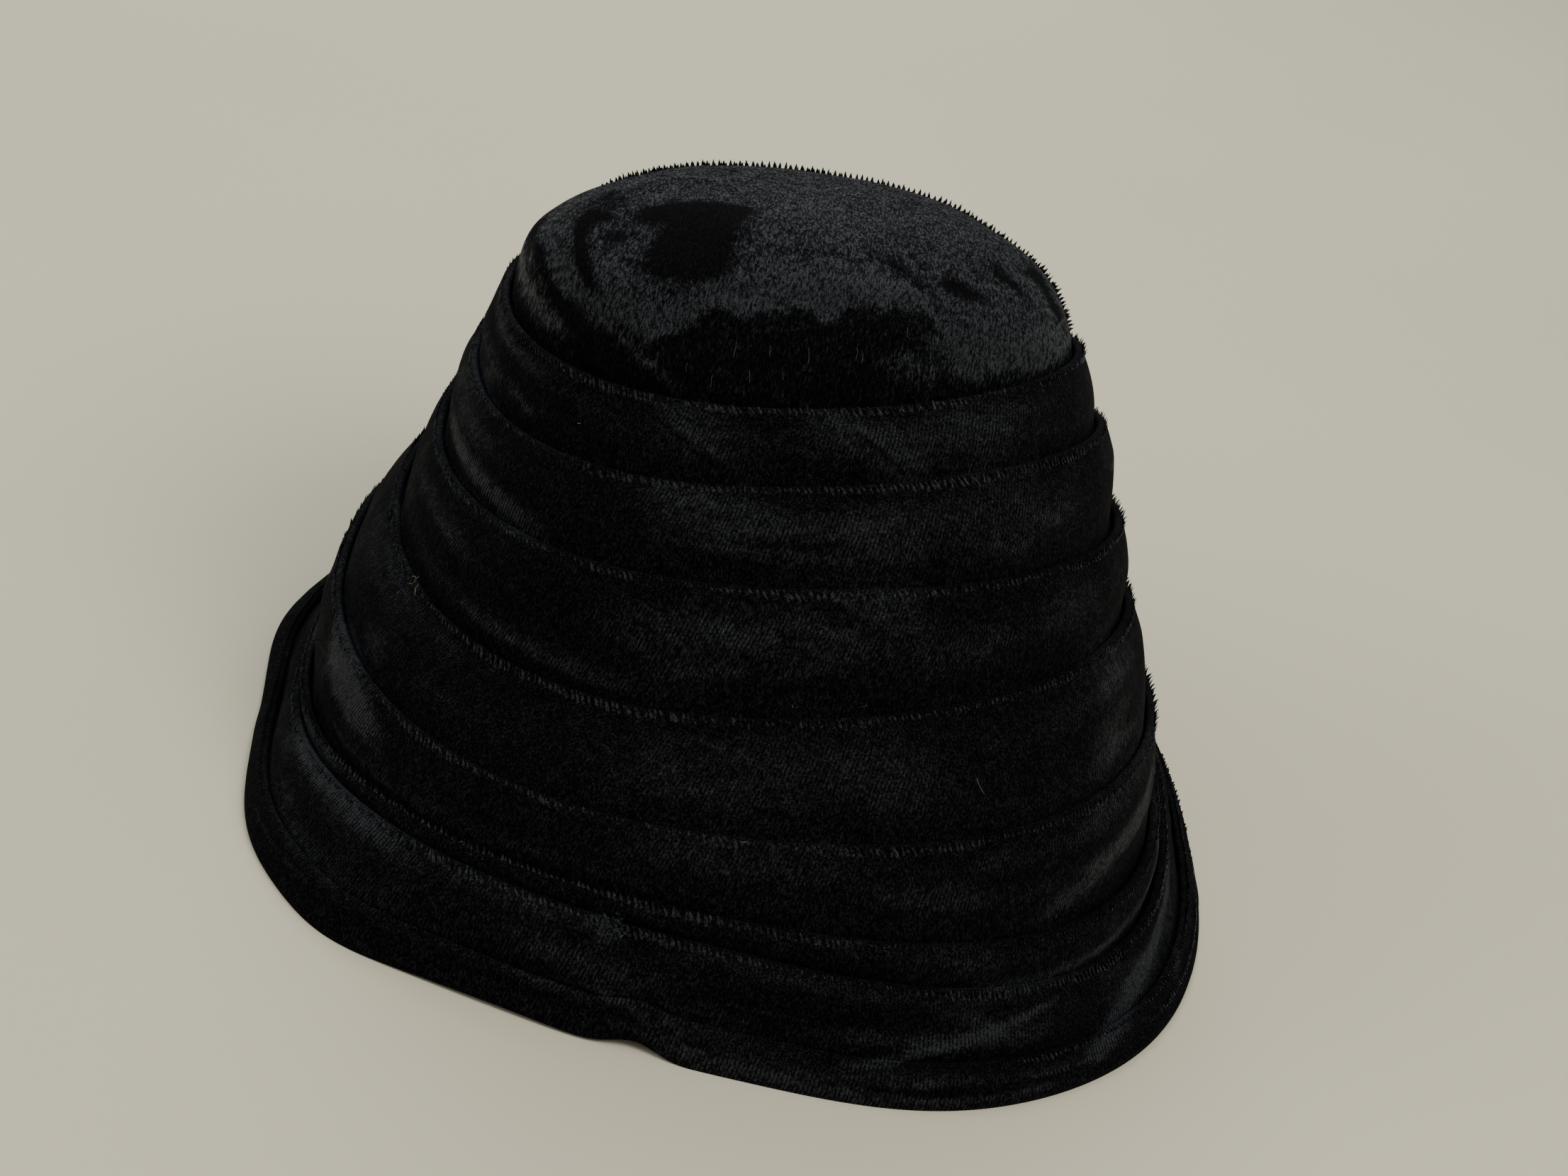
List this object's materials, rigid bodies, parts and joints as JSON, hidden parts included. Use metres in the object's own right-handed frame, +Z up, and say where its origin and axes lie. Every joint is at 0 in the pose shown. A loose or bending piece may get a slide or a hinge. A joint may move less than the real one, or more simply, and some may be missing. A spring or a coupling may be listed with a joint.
{
  "type": "turban hat",
  "caption": "Tall black velvet hat in the turban family: folded bands lapped one over another under a domed crown tip, flaring to a soft bell brim with a bound rim.",
  "frame": {"origin": "middle of the hat's box, on the surface its rim rests on", "axes": "+Z up from the rim to the crown tip; +Y forward, away from the side where the bands are joined; +X to the right as that side is looked at"},
  "size_m": [0.2778, 0.2962, 0.1744],
  "materials": {
    "velvet_crown": "black velvet, brushed pile, soft sheen",
    "velvet_bands": "black velvet cut on the bias, soft sheen",
    "velvet_brim": "black velvet, worn smooth in places, soft sheen"
  },
  "bodies": {
    "root": {"crown_tip": "velvet_crown", "band_1": "velvet_bands", "band_2": "velvet_bands", "band_3": "velvet_bands", "band_4": "velvet_bands", "band_5": "velvet_bands", "band_6": "velvet_bands", "brim_band": "velvet_brim", "rim_binding": "velvet_brim"}
  },
  "joints": []
}
